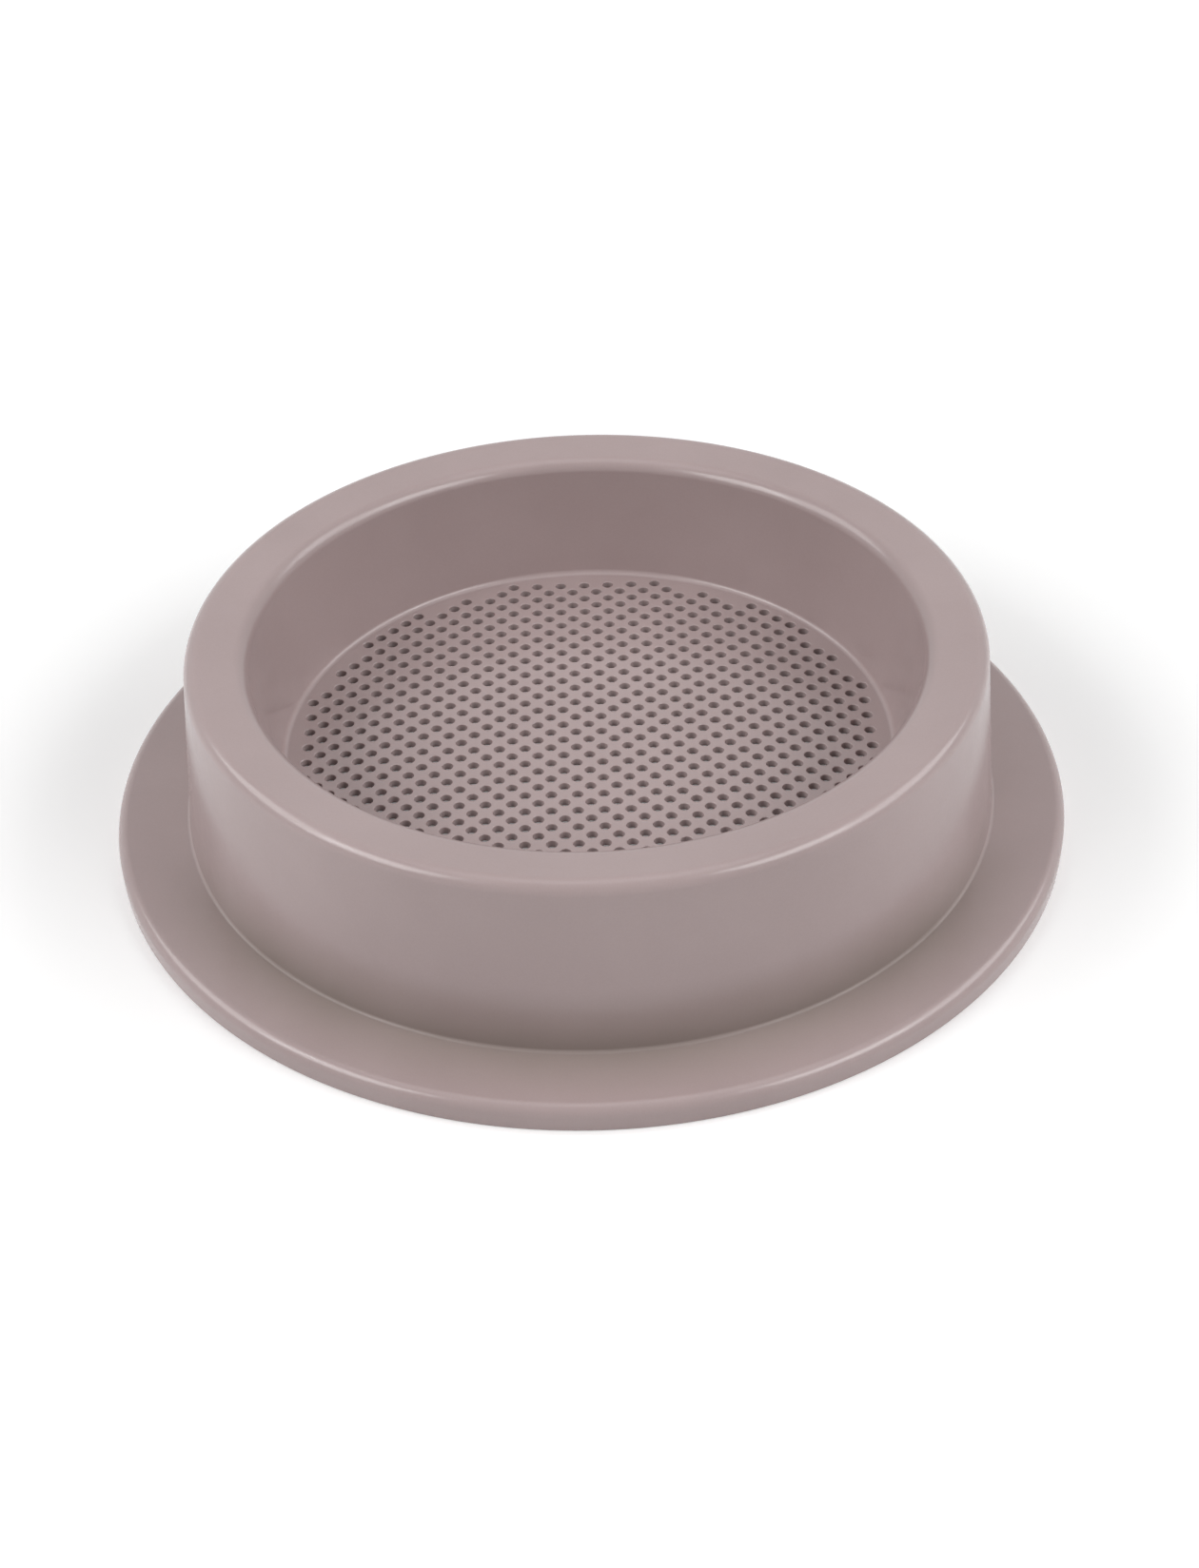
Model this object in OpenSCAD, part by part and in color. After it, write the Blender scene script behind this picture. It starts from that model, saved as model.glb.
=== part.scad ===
// Sand sieve that drops over the rim of a toy bucket. Millimetres, +Z up.
// The real sieve is one plastic moulding. Its members are solids of their own here,
// and each meets the next face to face: the skirt goes round the brim on an upright
// face, and the others stand on each other on level planes.
// The origin is the centre of the circle that the skirt stands on.

/* [Brim and skirt] */
// Diameter over the edge of the brim
brim_d = 210; // [200:1:240]
// Thickness of the brim
brim_t = 2; // [1.6:0.1:3]
// Width of the brim, from the foot of the collar to the edge
brim_w = 16; // [10:0.1:24]
// Radius of the turn from the brim's top down into the skirt
brim_edge_r = 2.4; // [1.6:0.1:3]
// Height of the skirt, from its foot to the brim's top
skirt_h = 5.7; // [5:0.1:14]
// Thickness of the skirt at its foot
skirt_t = 1.8; // [1.4:0.1:3]
// How far the skirt's outer face leans in, from the brim's edge to the foot
skirt_lean = 0.2; // [0:0.1:0.4]

/* [Collar] */
// Height of the collar above the brim
collar_h = 39.7; // [30:0.1:56]
// How far the collar's outer face leans in, from foot to top
collar_lean = 3.3; // [0:0.1:4.5]
// Thickness of the collar and hopper walls
wall = 2; // [1.6:0.1:2.6]
// Radius of the fillet between the collar and the brim
collar_fillet_r = 0.8; // [0.3:0.1:2.4]

/* [Rim] */
// Width of the rim, from the collar's outer face to the mouth
rim_w = 12.7; // [10:0.1:18]
// How far the rim's top falls towards the mouth
rim_fall = 1.3; // [0:0.1:2]
// Radius of the rim's outer edge
rim_outer_r = 2.8; // [0.6:0.1:3.4]
// Radius of the rim's edge at the mouth
rim_mouth_r = 3.5; // [0.6:0.1:4]
// Height of the rim's two legs, from its top to where the walls begin
rim_leg_h = 5; // [4.6:0.1:7]

/* [Hopper and sieve floor] */
// Depth of the hopper, from the rim's top to the sieve floor
hopper_depth = 29.3; // [16:0.1:37]
// How far the hopper wall leans in, from the rim's top to the floor
hopper_lean = 5.5; // [1:0.1:10]
// Radius of the fillet between the hopper wall and the floor
floor_fillet_r = 1.4; // [0.4:0.1:2.4]
// Thickness of the sieve floor
floor_t = 1.8; // [1.2:0.1:3]
// Diameter of each hole
hole_d = 2.4; // [1.6:0.1:3]
// Distance from hole to hole, along a row and across it
hole_pitch = 4; // [3.8:0.1:6]
// Plain border between the outermost holes and the fillet
border_w = 0.4; // [0.2:0.1:6]

/* [Hidden] */

mauve = [0.69, 0.63, 0.62];
// The rows of holes run at this angle to the X axis
row_angle = 45;
// Rounding of the small edges that are out of sight: the skirt's foot, the turn up
// from the brim into the collar, the inside of the rim and the floor's lower edge
foot_edge_r = 0.4;
turn_r = 1;
rim_inside_r = 1.2;
floor_edge_r = 0.9;
// How far inside the turned edge the brim's plate ends, on the skirt
seam_inset = 0.3;
// How far a cut runs past the faces that it opens
overrun = 1;
// Straight steps in each rounded corner
corner_steps = 8;
ring_fn = 180;
hole_fn = 24;

// Levels
brim_z = skirt_h;
brim_under_z = brim_z - brim_t;
rim_z = brim_z + collar_h;
leg_z = rim_z - rim_leg_h;
floor_z = rim_z - hopper_depth;
floor_under_z = floor_z - floor_t;

// Radii of the upright faces, each at a level z
brim_r = brim_d / 2;
function skirt_outer(z) = brim_r - skirt_lean * (brim_z - z) / brim_z;
skirt_inner = skirt_outer(0) - skirt_t;
seam_r = min(brim_r - brim_edge_r, skirt_inner) - seam_inset;
collar_foot_r = brim_r - brim_w;
function collar_outer(z) = collar_foot_r - collar_lean * (z - brim_z) / collar_h;
function collar_inner(z) = collar_outer(z) - wall;
mouth_r = collar_outer(rim_z) - rim_w;
function hopper_inner(z) = mouth_r - hopper_lean * (rim_z - z) / hopper_depth;
function hopper_outer(z) = hopper_inner(z) + wall;

// The circle that holds every hole, edges included
sieved_r = hopper_inner(floor_z) - floor_fillet_r - border_w;

// Points of the arc that rounds the corner b, between a and c. b is [r, z, radius]
function unit(v) = v / norm(v);
function flat(p) = [p[0], p[1]];
function signed(angle) = angle > 180 ? angle - 360 : angle < -180 ? angle + 360 : angle;
function corner(a, b, c) =
    let (
        to_a = unit(flat(a) - flat(b)),
        to_c = unit(flat(c) - flat(b)),
        half = acos(to_a * to_c) / 2,
        centre = flat(b) + unit(to_a + to_c) * b[2] / sin(half),
        start = flat(b) + to_a * b[2] / tan(half) - centre,
        end = flat(b) + to_c * b[2] / tan(half) - centre,
        first = atan2(start[1], start[0]),
        sweep = signed(atan2(end[1], end[0]) - first)
    )
    [for (i = [0:corner_steps])
        let (angle = first + sweep * i / corner_steps)
        centre + b[2] * [cos(angle), sin(angle)]];

// An outline of [r, z] points, where a third value rounds that corner
function outline(corners) =
    let (n = len(corners))
    [for (i = [0:n - 1])
        each len(corners[i]) > 2
            ? corner(corners[(i + n - 1) % n], corners[i], corners[(i + 1) % n])
            : [corners[i]]];

module ring(points) {
    rotate_extrude($fn = ring_fn) polygon(points);
}

// Turned-down edge of the brim. Its straight bore takes the bucket's rim
module skirt() {
    color(mauve) ring(outline([
        [skirt_inner, 0, foot_edge_r],
        [skirt_outer(0), 0, foot_edge_r],
        [brim_r, brim_z, brim_edge_r],
        [seam_r, brim_z],
        [seam_r, brim_under_z],
        [skirt_inner, brim_under_z]
    ]));
}

// Flat flange that rests on the bucket, and that the skirt goes round
module brim() {
    color(mauve) ring(outline([
        [collar_inner(brim_under_z), brim_under_z, turn_r],
        [seam_r, brim_under_z],
        [seam_r, brim_z],
        [collar_inner(brim_z), brim_z]
    ]));
}

// Outer wall of the collar, with the fillet that runs out onto the brim
module collar_wall() {
    top = [collar_outer(leg_z), leg_z];
    fillet = corner([brim_r, brim_z], [collar_foot_r, brim_z, collar_fillet_r], top);
    color(mauve) ring(concat(
        [[collar_inner(brim_z), brim_z]],
        fillet,
        [top, [collar_inner(leg_z), leg_z]]
    ));
}

// Rounded top that bridges the two walls and is open underneath
module rim() {
    mouth_z = rim_z - rim_fall;
    color(mauve) ring(outline([
        [collar_outer(leg_z), leg_z],
        [collar_outer(rim_z), rim_z, rim_outer_r],
        [hopper_inner(mouth_z), mouth_z, rim_mouth_r],
        [hopper_inner(leg_z), leg_z],
        [hopper_outer(leg_z), leg_z],
        [hopper_outer(mouth_z - wall), mouth_z - wall, rim_inside_r],
        [collar_inner(rim_z - wall), rim_z - wall, rim_inside_r],
        [collar_inner(leg_z), leg_z]
    ]));
}

// Leaning wall of the hopper, with the fillet that runs out onto the floor
module hopper_wall() {
    top = [hopper_inner(leg_z), leg_z];
    foot_r = hopper_inner(floor_z);
    fillet = corner([0, floor_z], [foot_r, floor_z, floor_fillet_r], top);
    color(mauve) ring(concat(
        fillet,
        [top, [hopper_outer(leg_z), leg_z], [hopper_outer(floor_z), floor_z]]
    ));
}

module hole_pattern() {
    reach = ceil(sieved_r / hole_pitch);
    for (i = [-reach:reach], j = [-reach:reach]) {
        place = [i, j] * hole_pitch;
        if (norm(place) + hole_d / 2 <= sieved_r)
            translate(place) circle(d = hole_d, $fn = hole_fn);
    }
}

// Plate that carries the hopper wall, with a square grid of round holes
module sieve_floor() {
    color(mauve) difference() {
        ring(outline([
            [0, floor_under_z],
            [hopper_outer(floor_under_z), floor_under_z, floor_edge_r],
            [hopper_outer(floor_z), floor_z],
            [0, floor_z]
        ]));
        rotate(row_angle) translate([0, 0, floor_under_z - overrun])
            linear_extrude(floor_t + 2 * overrun) hole_pattern();
    }
}

skirt();
brim();
collar_wall();
rim();
hopper_wall();
sieve_floor();
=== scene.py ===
"""The sand sieve in moulded plastic, on a white studio floor."""
import math

import bpy
from mathutils import Matrix, Vector
from mathutils.geometry import delaunay_2d_cdt


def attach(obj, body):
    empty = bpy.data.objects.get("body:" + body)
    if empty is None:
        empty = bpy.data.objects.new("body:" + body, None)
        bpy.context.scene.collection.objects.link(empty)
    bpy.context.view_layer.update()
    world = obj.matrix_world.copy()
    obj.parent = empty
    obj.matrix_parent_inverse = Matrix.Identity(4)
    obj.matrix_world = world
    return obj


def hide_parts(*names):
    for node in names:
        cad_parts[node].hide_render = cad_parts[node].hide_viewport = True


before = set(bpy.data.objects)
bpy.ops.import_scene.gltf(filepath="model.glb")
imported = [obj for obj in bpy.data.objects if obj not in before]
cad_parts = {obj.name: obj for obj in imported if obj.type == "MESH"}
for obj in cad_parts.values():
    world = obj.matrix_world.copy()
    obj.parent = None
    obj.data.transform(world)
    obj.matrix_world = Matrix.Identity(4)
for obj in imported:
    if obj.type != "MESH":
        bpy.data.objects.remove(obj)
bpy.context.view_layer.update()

# Sizes in millimetres, as in the part's source
MM = 0.001
BRIM_R = 105.0
BRIM_T = 2.0
BRIM_W = 16.0
BRIM_EDGE_R = 2.4
SKIRT_H = 5.7
SKIRT_T = 1.8
SKIRT_LEAN = 0.2
SEAM_INSET = 0.3
COLLAR_H = 39.7
COLLAR_LEAN = 3.3
COLLAR_FILLET_R = 0.8
WALL = 2.0
RIM_W = 12.7
RIM_FALL = 1.3
RIM_OUTER_R = 2.8
RIM_MOUTH_R = 3.5
RIM_INSIDE_R = 1.2
RIM_LEG_H = 5.0
HOPPER_DEPTH = 29.3
HOPPER_LEAN = 5.5
FLOOR_FILLET_R = 1.4
FLOOR_T = 1.8
FLOOR_EDGE_R = 0.9
FOOT_EDGE_R = 0.4
TURN_R = 1.0
HOLE_R = 1.2
HOLE_PITCH = 4.0
BORDER_W = 0.4
ROW_ANGLE = math.radians(45)

# How finely the meshes are cut
RING_STEPS = 256
CORNER_STEPS = 10
HOLE_STEPS = 18
HOLE_EDGE_STEPS = 2
# Rounding that the mould leaves round each hole
HOLE_EDGE_R = 0.22

BRIM_Z = SKIRT_H
BRIM_UNDER_Z = BRIM_Z - BRIM_T
RIM_Z = BRIM_Z + COLLAR_H
LEG_Z = RIM_Z - RIM_LEG_H
FLOOR_Z = RIM_Z - HOPPER_DEPTH
FLOOR_UNDER_Z = FLOOR_Z - FLOOR_T
MOUTH_Z = RIM_Z - RIM_FALL

# Colours, as linear values
MAUVE_DARK = (0.348, 0.270, 0.266, 1)
MAUVE_LIGHT = (0.388, 0.305, 0.301, 1)
# Brown that the corner at the collar's foot is darkened towards, as painted shade
PAINTED_SHADE_BROWN = (0.22, 0.195, 0.16, 1)
PAPER_WHITE = (0.9, 0.9, 0.9, 1)
LIGHT_WHITE = (1, 1, 1, 1)


def skirt_outer(z):
    return BRIM_R - SKIRT_LEAN * (BRIM_Z - z) / BRIM_Z


def collar_outer(z):
    return BRIM_R - BRIM_W - COLLAR_LEAN * (z - BRIM_Z) / COLLAR_H


def collar_inner(z):
    return collar_outer(z) - WALL


def hopper_inner(z):
    return collar_outer(RIM_Z) - RIM_W - HOPPER_LEAN * (RIM_Z - z) / HOPPER_DEPTH


def hopper_outer(z):
    return hopper_inner(z) + WALL


SKIRT_INNER = skirt_outer(0) - SKIRT_T
SEAM_R = min(BRIM_R - BRIM_EDGE_R, SKIRT_INNER) - SEAM_INSET
SIEVED_R = hopper_inner(FLOOR_Z) - FLOOR_FILLET_R - BORDER_W


# Outlines: each point is (place, normal before it, normal after it), with the solid on the left

def side_normal(start, end):
    along = (end - start).normalized()
    return Vector((along.y, -along.x))


def rounded_corner(before, corner, after, radius):
    """The arc that rounds a corner, as points with their normals."""
    to_before = (before - corner).normalized()
    to_after = (after - corner).normalized()
    half = to_before.angle(to_after) / 2
    centre = corner + (to_before + to_after).normalized() * radius / math.sin(half)
    start = corner + to_before * radius / math.tan(half) - centre
    end = corner + to_after * radius / math.tan(half) - centre
    sweep = math.atan2(start.x * end.y - start.y * end.x, start.dot(end))
    side = math.copysign(1, sweep)
    first = math.atan2(start.y, start.x)
    points = []
    for step in range(CORNER_STEPS + 1):
        angle = first + sweep * step / CORNER_STEPS
        outward = Vector((math.cos(angle), math.sin(angle)))
        points.append((centre + outward * radius, outward * side, outward * side))
    return points


def outline(corners):
    """Points of a closed outline. A third value in a corner is the radius that rounds it."""
    places = [Vector(corner[:2]) for corner in corners]
    points = []
    for i, corner in enumerate(corners):
        before, here, after = places[i - 1], places[i], places[(i + 1) % len(places)]
        if len(corner) > 2:
            points += rounded_corner(before, here, after, corner[2])
        else:
            points.append((here, side_normal(before, here), side_normal(here, after)))
    return points


def footed_outline(arc, rest):
    """A wall's outline that starts with the fillet arc at its foot."""
    places = [arc[-1][0]] + [Vector(p) for p in rest] + [arc[0][0]]
    points = [(arc[0][0], side_normal(places[-2], places[-1]), arc[0][2])] + arc[1:]
    for before, here, after in zip(places, places[1:], places[2:]):
        points.append((here, side_normal(before, here), side_normal(here, after)))
    return points


# Meshes

def turns(steps):
    """Angles that divide a full turn, from nought up to the full turn itself."""
    return [2 * math.pi * step / steps for step in range(steps + 1)]


def around(flat, angle):
    """A point or normal (r, z) of an outline, turned to that angle round the Z axis."""
    return Vector((flat.x * math.cos(angle), flat.x * math.sin(angle), flat.y))


def circle_points(centre, radius, steps):
    return [centre + Vector((math.cos(a), math.sin(a))) * radius for a in turns(steps)[:-1]]


def at_height(flat_points, z):
    return [Vector((p.x, p.y, z)) for p in flat_points]


class Surface:
    """A mesh while it is put together, in millimetres, with a normal for each corner of its faces."""

    def __init__(self):
        self.vertices = []
        self.faces = []
        self.normals = []

    def add_ring(self, points):
        """Adds a ring of vertices and gives their numbers."""
        first = len(self.vertices)
        self.vertices += points
        return range(first, len(self.vertices))

    def add_triangles(self, triangles, normal):
        self.faces += triangles
        self.normals += [(normal, normal, normal)] * len(triangles)

    def add_band(self, ring, next_ring, normal, next_normal):
        """Joins two rings with a band of quads. Normals are (r, z), as in an outline."""
        angles = turns(len(ring))
        for k, (angle, next_angle) in enumerate(zip(angles, angles[1:])):
            j = (k + 1) % len(ring)
            self.faces.append((ring[k], ring[j], next_ring[j], next_ring[k]))
            self.normals.append((
                around(normal, angle),
                around(normal, next_angle),
                around(next_normal, next_angle),
                around(next_normal, angle),
            ))

    def add_bands(self, rings, normals):
        """Joins a row of rings, where the bands on both sides of a ring share its normal."""
        for i in range(len(rings) - 1):
            self.add_band(rings[i], rings[i + 1], normals[i], normals[i + 1])

    def mesh(self, name):
        """The mesh in metres, shaded by the normals that were given."""
        mesh = bpy.data.meshes.new(name)
        mesh.from_pydata([v * MM for v in self.vertices], [], self.faces)
        mesh.polygons.foreach_set("use_smooth", [True] * len(self.faces))
        mesh.normals_split_custom_set([n for corners in self.normals for n in corners])
        mesh.update()
        return mesh


def ring_mesh(name, points):
    """Turns a closed outline once round the Z axis."""
    surface = Surface()
    angles = turns(RING_STEPS)[:-1]
    rings = [surface.add_ring([around(place, angle) for angle in angles]) for place, _, _ in points]
    for i, (_, _, leaving) in enumerate(points):
        j = (i + 1) % len(points)
        surface.add_band(rings[i], rings[j], leaving, points[j][1])
    return surface.mesh(name)


# The moulding's members

def make_skirt():
    return ring_mesh("skirt", outline([
        (SKIRT_INNER, 0, FOOT_EDGE_R),
        (skirt_outer(0), 0, FOOT_EDGE_R),
        (BRIM_R, BRIM_Z, BRIM_EDGE_R),
        (SEAM_R, BRIM_Z),
        (SEAM_R, BRIM_UNDER_Z),
        (SKIRT_INNER, BRIM_UNDER_Z),
    ]))


def make_brim():
    return ring_mesh("brim", outline([
        (collar_inner(BRIM_UNDER_Z), BRIM_UNDER_Z, TURN_R),
        (SEAM_R, BRIM_UNDER_Z),
        (SEAM_R, BRIM_Z),
        (collar_inner(BRIM_Z), BRIM_Z),
    ]))


def make_collar_wall():
    top = Vector((collar_outer(LEG_Z), LEG_Z))
    foot = Vector((collar_outer(BRIM_Z), BRIM_Z))
    arc = rounded_corner(Vector((BRIM_R, BRIM_Z)), foot, top, COLLAR_FILLET_R)
    return ring_mesh("collar_wall", footed_outline(arc, [
        top,
        (collar_inner(LEG_Z), LEG_Z),
        (collar_inner(BRIM_Z), BRIM_Z),
    ]))


def make_rim():
    return ring_mesh("rim", outline([
        (collar_outer(LEG_Z), LEG_Z),
        (collar_outer(RIM_Z), RIM_Z, RIM_OUTER_R),
        (hopper_inner(MOUTH_Z), MOUTH_Z, RIM_MOUTH_R),
        (hopper_inner(LEG_Z), LEG_Z),
        (hopper_outer(LEG_Z), LEG_Z),
        (hopper_outer(MOUTH_Z - WALL), MOUTH_Z - WALL, RIM_INSIDE_R),
        (collar_inner(RIM_Z - WALL), RIM_Z - WALL, RIM_INSIDE_R),
        (collar_inner(LEG_Z), LEG_Z),
    ]))


def make_hopper_wall():
    top = Vector((hopper_inner(LEG_Z), LEG_Z))
    foot = Vector((hopper_inner(FLOOR_Z), FLOOR_Z))
    arc = rounded_corner(top, foot, Vector((0, FLOOR_Z)), FLOOR_FILLET_R)
    return ring_mesh("hopper_wall", footed_outline(arc, [
        (hopper_outer(FLOOR_Z), FLOOR_Z),
        (hopper_outer(LEG_Z), LEG_Z),
        top,
    ]))


def hole_centres():
    """The square grid of holes, turned to run across the X axis."""
    reach = math.ceil(SIEVED_R / HOLE_PITCH)
    turn = Matrix.Rotation(ROW_ANGLE, 2)
    places = [
        Vector((i, j)) * HOLE_PITCH
        for i in range(-reach, reach + 1)
        for j in range(-reach, reach + 1)
    ]
    return [turn @ place for place in places if place.length + HOLE_R <= SIEVED_R]


def hole_outline():
    """Points (r, z) down the inside of a hole from the floor's top to its underside, with normals."""
    upper = []
    lower = []
    for step in range(HOLE_EDGE_STEPS + 1):
        angle = math.pi / 2 * (1 - step / HOLE_EDGE_STEPS)
        inward, up = math.cos(angle), math.sin(angle)
        radius = HOLE_R + HOLE_EDGE_R * (1 - inward)
        drop = HOLE_EDGE_R * (1 - up)
        upper.append((Vector((radius, FLOOR_Z - drop)), Vector((-inward, up))))
        lower.append((Vector((radius, FLOOR_UNDER_Z + drop)), Vector((-inward, -up))))
    return upper + lower[::-1]


def inside_one_hole(triangle):
    """True where all three corners lie on the edge of the same hole."""
    holes = {(v - RING_STEPS) // HOLE_STEPS for v in triangle}
    return len(holes) == 1 and min(triangle) >= RING_STEPS


def plate_triangles(rings):
    """Triangles between the plate's edge and its holes. They number the rings' points in one row."""
    points = []
    edges = []
    for ring in rings:
        first = len(points)
        points += ring
        edges += [(first + k, first + (k + 1) % len(ring)) for k in range(len(ring))]
    inside_the_edges = 1
    tolerance = 1e-6
    filled = delaunay_2d_cdt(points, edges, [], inside_the_edges, tolerance)
    origin = [old[0] for old in filled[3]]
    triangles = [tuple(origin[v] for v in face) for face in filled[2]]
    return [triangle for triangle in triangles if not inside_one_hole(triangle)]


def add_plate_edge(surface, under, top, edge):
    """The rounded lower edge and the leaning side of the sieve floor."""
    angles = turns(RING_STEPS)[:-1]
    between = [surface.add_ring([around(place, angle) for angle in angles]) for place, _, _ in edge[1:]]
    normals = [normal for _, normal, _ in edge]
    surface.add_bands([under, *between, top], normals + normals[-1:])


def add_hole_wall(surface, centre, top, under, hole):
    """The inside of one hole, with its two rounded edges."""
    between = [
        surface.add_ring(at_height(circle_points(centre, place.x, HOLE_STEPS), place.y))
        for place, _ in hole[1:-1]
    ]
    surface.add_bands([top, *between, under], [normal for _, normal in hole])


def make_sieve_floor():
    """A plate with rounded holes: one triangulation serves its top and its underside."""
    edge = rounded_corner(
        Vector((0, FLOOR_UNDER_Z)),
        Vector((hopper_outer(FLOOR_UNDER_Z), FLOOR_UNDER_Z)),
        Vector((hopper_outer(FLOOR_Z), FLOOR_Z)),
        FLOOR_EDGE_R,
    )
    hole = hole_outline()
    centres = hole_centres()
    hole_rings = [circle_points(centre, hole[0][0].x, HOLE_STEPS) for centre in centres]
    axis = Vector((0, 0))
    top_rings = [circle_points(axis, hopper_outer(FLOOR_Z), RING_STEPS)] + hole_rings
    under_rings = [circle_points(axis, edge[0][0].x, RING_STEPS)] + hole_rings

    surface = Surface()
    tops = [surface.add_ring(at_height(ring, FLOOR_Z)) for ring in top_rings]
    unders = [surface.add_ring(at_height(ring, FLOOR_UNDER_Z)) for ring in under_rings]
    triangles = plate_triangles(top_rings)
    surface.add_triangles(triangles, Vector((0, 0, 1)))
    below = unders[0][0]
    under_triangles = [tuple(below + v for v in reversed(triangle)) for triangle in triangles]
    surface.add_triangles(under_triangles, Vector((0, 0, -1)))

    add_plate_edge(surface, unders[0], tops[0], edge)
    for centre, top, under in zip(centres, tops[1:], unders[1:]):
        add_hole_wall(surface, centre, top, under, hole)
    return surface.mesh("sieve_floor")


def add_piece(name, mesh, material):
    """Puts a fine mesh in place of the CAD node of that name."""
    piece = bpy.data.objects.new(name + "_moulding", mesh)
    bpy.context.scene.collection.objects.link(piece)
    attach(piece, "root")
    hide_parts(name)
    mesh.materials.append(material)


# Materials

class Nodes:
    """Short calls for making the nodes of one material or world."""

    def __init__(self, owner):
        owner.use_nodes = True
        self.tree = owner.node_tree
        self.tree.nodes.clear()

    def add(self, kind, **values):
        node = self.tree.nodes.new(kind)
        for name, value in values.items():
            setattr(node, name, value)
        return node

    def link(self, source, target):
        self.tree.links.new(source, target)

    def noise(self, place, scale, detail=2.0, roughness=0.5):
        node = self.add("ShaderNodeTexNoise")
        node.inputs["Scale"].default_value = scale
        node.inputs["Detail"].default_value = detail
        node.inputs["Roughness"].default_value = roughness
        self.link(place, node.inputs["Vector"])
        return node.outputs["Fac"]

    def spread(self, value, low, high, from_low=0.3, from_high=0.7):
        """Maps from_low to from_high onto low to high. Noise lies mostly between 0.3 and 0.7."""
        node = self.add("ShaderNodeMapRange")
        node.inputs["From Min"].default_value = from_low
        node.inputs["From Max"].default_value = from_high
        node.inputs["To Min"].default_value = low
        node.inputs["To Max"].default_value = high
        self.link(value, node.inputs["Value"])
        return node.outputs["Result"]

    def maths(self, operation, first, second):
        node = self.add("ShaderNodeMath", operation=operation)
        for socket, value in zip(node.inputs, (first, second)):
            if isinstance(value, (int, float)):
                socket.default_value = value
            else:
                self.link(value, socket)
        return node.outputs["Value"]

    def length(self, vector):
        node = self.add("ShaderNodeVectorMath", operation="LENGTH")
        self.link(vector, node.inputs[0])
        return node.outputs["Value"]

    def combine(self, **parts):
        """A vector from its parts, such as X and Z. A part that isn't given is nought."""
        node = self.add("ShaderNodeCombineXYZ")
        for axis, value in parts.items():
            self.link(value, node.inputs[axis])
        return node.outputs["Vector"]

    def bump(self, height, distance, after=None):
        node = self.add("ShaderNodeBump")
        node.inputs["Strength"].default_value = 1.0
        node.inputs["Distance"].default_value = distance
        self.link(height, node.inputs["Height"])
        if after:
            self.link(after, node.inputs["Normal"])
        return node.outputs["Normal"]


def seen_rays(nodes):
    """One for the camera's rays and for what a gloss or a clear piece shows, nought for other light."""
    rays = nodes.add("ShaderNodeLightPath")
    mirrored = nodes.maths("MAXIMUM", rays.outputs["Is Glossy Ray"], rays.outputs["Is Transmission Ray"])
    return nodes.maths("MAXIMUM", rays.outputs["Is Camera Ray"], mirrored)


def cloudy_mauve(nodes, place):
    """The pigment, with soft clouds and fine flecks."""
    cloud = nodes.spread(nodes.noise(place, scale=28.0, detail=4.0), low=0.0, high=0.75)
    fleck = nodes.spread(nodes.noise(place, scale=2600.0, detail=1.0), low=0.0, high=0.25)
    ramp = nodes.add("ShaderNodeValToRGB")
    ramp.color_ramp.elements[0].color = MAUVE_DARK
    ramp.color_ramp.elements[1].color = MAUVE_LIGHT
    nodes.link(nodes.maths("ADD", cloud, fleck), ramp.inputs["Fac"])
    return ramp.outputs["Color"]


def painted_corner_shade(nodes, place):
    """Painted shade in the corner at the collar's foot, most at the front and less behind: how far the
    colour is darkened there.
    """
    # Distances from the corner and places along Y, in metres, and the share of the painted shade that is
    # kept behind
    darkest_within = 0.001
    unshaded_beyond = 0.015
    darkest_front_y = -0.058
    palest_back_y = -0.022
    share_behind = 0.15
    corner_r = (BRIM_R - BRIM_W) * MM
    brim_z = BRIM_Z * MM
    brim_middle_z = (BRIM_Z - BRIM_T / 2) * MM

    split = nodes.add("ShaderNodeSeparateXYZ")
    nodes.link(place, split.inputs[0])
    x, y, z = split.outputs["X"], split.outputs["Y"], split.outputs["Z"]
    from_axis = nodes.length(nodes.combine(X=x, Y=y))
    offset = nodes.combine(
        X=nodes.maths("SUBTRACT", from_axis, corner_r),
        Z=nodes.maths("SUBTRACT", z, brim_z),
    )
    shade_fading = nodes.spread(nodes.length(offset), 1.0, 0.0, from_low=darkest_within, from_high=unshaded_beyond)
    at_front = nodes.spread(y, 1.0, share_behind, from_low=darkest_front_y, from_high=palest_back_y)
    patchy = nodes.spread(nodes.noise(place, scale=45.0, detail=3.0), low=0.8, high=1.0)
    above = nodes.maths("GREATER_THAN", z, brim_middle_z)
    shade_amount = nodes.maths("MULTIPLY", shade_fading, at_front)
    shade_amount = nodes.maths("MULTIPLY", shade_amount, patchy)
    return nodes.maths("MULTIPLY", shade_amount, above)


def under_painted_shade(nodes, colour, shade_amount):
    """The colour, darkened halfway to brown where the painted shade is deepest."""
    deepest_shade_share = 0.5
    mix = nodes.add("ShaderNodeMixRGB")
    mix.inputs["Color2"].default_value = PAINTED_SHADE_BROWN
    nodes.link(nodes.maths("MULTIPLY", shade_amount, deepest_shade_share), mix.inputs["Fac"])
    nodes.link(colour, mix.inputs["Color1"])
    return mix.outputs["Color"]


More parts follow.
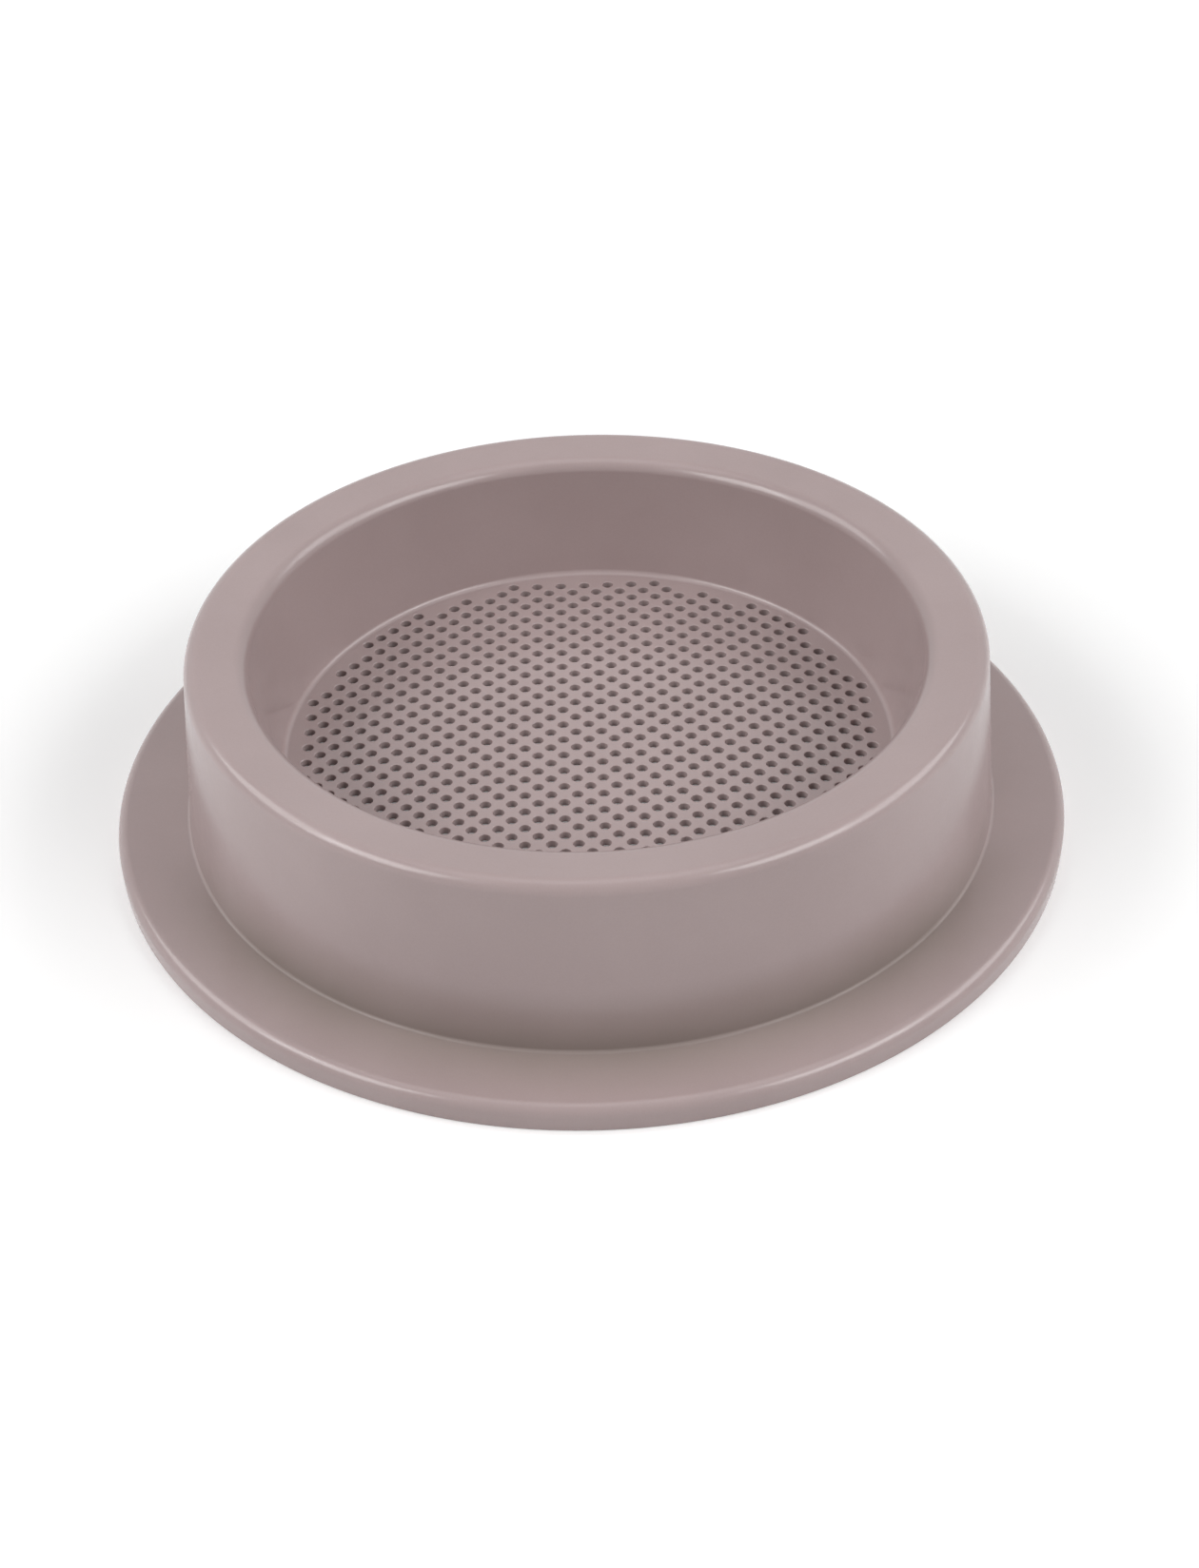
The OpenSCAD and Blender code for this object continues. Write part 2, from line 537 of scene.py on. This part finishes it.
def moulded_plastic():
    """Mauve polypropylene: cloudy pigment, faint orange peel, handling marks, and painted shade in the
    corner at the collar's foot.
    """
    material = bpy.data.materials.new("mauve_plastic")
    nodes = Nodes(material)
    place = nodes.add("ShaderNodeTexCoord").outputs["Object"]
    shader = nodes.add("ShaderNodeBsdfPrincipled")
    output = nodes.add("ShaderNodeOutputMaterial")
    nodes.link(shader.outputs["BSDF"], output.inputs["Surface"])

    # Painted shade: the corner at the collar's foot is darkened towards brown and its gloss dimmed, most
    # at the front
    shade_amount = painted_corner_shade(nodes, place)
    colour = under_painted_shade(nodes, cloudy_mauve(nodes, place), shade_amount)
    nodes.link(colour, shader.inputs["Base Color"])

    # Handling marks and fine grain vary the gloss, and the painted shade at the collar's foot dims its
    # reflection
    grain = nodes.noise(place, scale=1500.0)
    marks = nodes.spread(nodes.noise(place, scale=60.0, detail=5.0, roughness=0.6), low=0.17, high=0.24)
    roughness = nodes.maths("ADD", marks, nodes.spread(grain, low=0.0, high=0.02))
    shade_dimmed_gloss = nodes.spread(shade_amount, 0.5, 0.15, from_low=0.0, from_high=1.0)
    nodes.link(roughness, shader.inputs["Roughness"])
    nodes.link(shade_dimmed_gloss, shader.inputs["Specular IOR Level"])

    peel = nodes.bump(nodes.noise(place, scale=420.0), distance=0.00003)
    nodes.link(nodes.bump(grain, distance=0.000006, after=peel), shader.inputs["Normal"])

    shader.inputs["IOR"].default_value = 1.5
    shader.inputs["Subsurface Weight"].default_value = 0.06
    shader.inputs["Subsurface Radius"].default_value = (1.0, 0.7, 0.6)
    shader.inputs["Subsurface Scale"].default_value = 0.0015
    return material


def studio_floor():
    """White paper that glows where it is seen straight or mirrored, more so away from the lamps."""
    # Distances in metres from the middle of the floor, and the glow there
    near, far = 0.1, 2.0
    near_glow, far_glow = 0.12, 0.95
    material = bpy.data.materials.new("studio_floor")
    nodes = Nodes(material)
    place = nodes.add("ShaderNodeTexCoord").outputs["Object"]
    paper = nodes.add("ShaderNodeBsdfDiffuse")
    glow = nodes.add("ShaderNodeEmission")
    both = nodes.add("ShaderNodeAddShader")
    output = nodes.add("ShaderNodeOutputMaterial")
    paper.inputs["Color"].default_value = PAPER_WHITE
    strength = nodes.spread(nodes.length(place), near_glow, far_glow, from_low=near, from_high=far)
    nodes.link(nodes.maths("MULTIPLY", seen_rays(nodes), strength), glow.inputs["Strength"])
    nodes.link(paper.outputs["BSDF"], both.inputs[0])
    nodes.link(glow.outputs["Emission"], both.inputs[1])
    nodes.link(both.outputs["Shader"], output.inputs["Surface"])
    return material


# Stage, light and camera

def make_floor():
    half = 4.0
    corners = [(-half, -half, 0), (half, -half, 0), (half, half, 0), (-half, half, 0)]
    mesh = bpy.data.meshes.new("studio_floor")
    mesh.from_pydata(corners, [], [(0, 1, 2, 3)])
    mesh.materials.append(studio_floor())
    floor = bpy.data.objects.new("studio_floor", mesh)
    bpy.context.scene.collection.objects.link(floor)


def make_world():
    """Soft fill all round, which the camera and reflections see as white."""
    fill_strength = 0.07
    white_strength = 1.0
    world = bpy.data.worlds.new("studio")
    bpy.context.scene.world = world
    nodes = Nodes(world)
    mix = nodes.add("ShaderNodeMixShader")
    output = nodes.add("ShaderNodeOutputWorld")
    for strength, socket in ((fill_strength, mix.inputs[1]), (white_strength, mix.inputs[2])):
        background = nodes.add("ShaderNodeBackground")
        background.inputs["Color"].default_value = LIGHT_WHITE
        background.inputs["Strength"].default_value = strength
        nodes.link(background.outputs["Background"], socket)
    nodes.link(seen_rays(nodes), mix.inputs["Fac"])
    nodes.link(mix.outputs["Shader"], output.inputs["Surface"])


def add_softbox(name, place, width, height, watts):
    """A soft rectangular lamp that faces the middle of the sieve."""
    light = bpy.data.lights.new(name, "AREA")
    light.shape = "RECTANGLE"
    light.size = width
    light.size_y = height
    light.energy = watts
    lamp = bpy.data.objects.new(name, light)
    bpy.context.scene.collection.objects.link(lamp)
    middle = Vector((0, 0, 0.02))
    lamp.location = place
    lamp.rotation_euler = (middle - Vector(place)).to_track_quat("-Z", "Y").to_euler()


def make_lights():
    """A softbox at each side of the camera, a panel at each side of the sieve, and one overhead."""
    add_softbox("left_softbox", (-1.03, -0.56, 0.93), width=0.8, height=0.7, watts=8.9)
    add_softbox("right_softbox", (0.98, -0.63, 0.93), width=0.8, height=0.7, watts=8.9)
    add_softbox("overhead_softbox", (0.0, 0.0, 1.4), width=1.15, height=0.75, watts=3.0)
    add_softbox("left_side_panel", (-1.16, 0.18, 0.93), width=1.1, height=0.7, watts=7.7)
    add_softbox("right_side_panel", (1.16, 0.18, 0.93), width=1.1, height=0.7, watts=7.7)


def make_camera():
    """The photograph's view: its place, the floor point that it looks at and its small roll."""
    place = Vector((0.0, -0.44034, 0.34151))
    aim = Vector((0.00203, 0.00433, 0.0))
    roll = math.radians(1.68)
    data = bpy.data.cameras.new("photo_camera")
    data.sensor_width = 36.0
    data.lens = 56.8
    data.clip_start = 0.01
    data.clip_end = 20.0
    camera = bpy.data.objects.new("photo_camera", data)
    bpy.context.scene.collection.objects.link(camera)
    level = (aim - place).to_track_quat("-Z", "Y").to_matrix().to_4x4()
    camera.matrix_world = Matrix.Translation(place) @ level @ Matrix.Rotation(-roll, 4, "Z")
    bpy.context.scene.camera = camera


plastic = moulded_plastic()
makers = {
    "skirt": make_skirt,
    "brim": make_brim,
    "collar_wall": make_collar_wall,
    "rim": make_rim,
    "hopper_wall": make_hopper_wall,
    "sieve_floor": make_sieve_floor,
}
for node_name, maker in makers.items():
    add_piece(node_name, maker(), plastic)

make_floor()
make_world()
make_lights()
make_camera()
bpy.context.scene.view_settings.view_transform = "Standard"
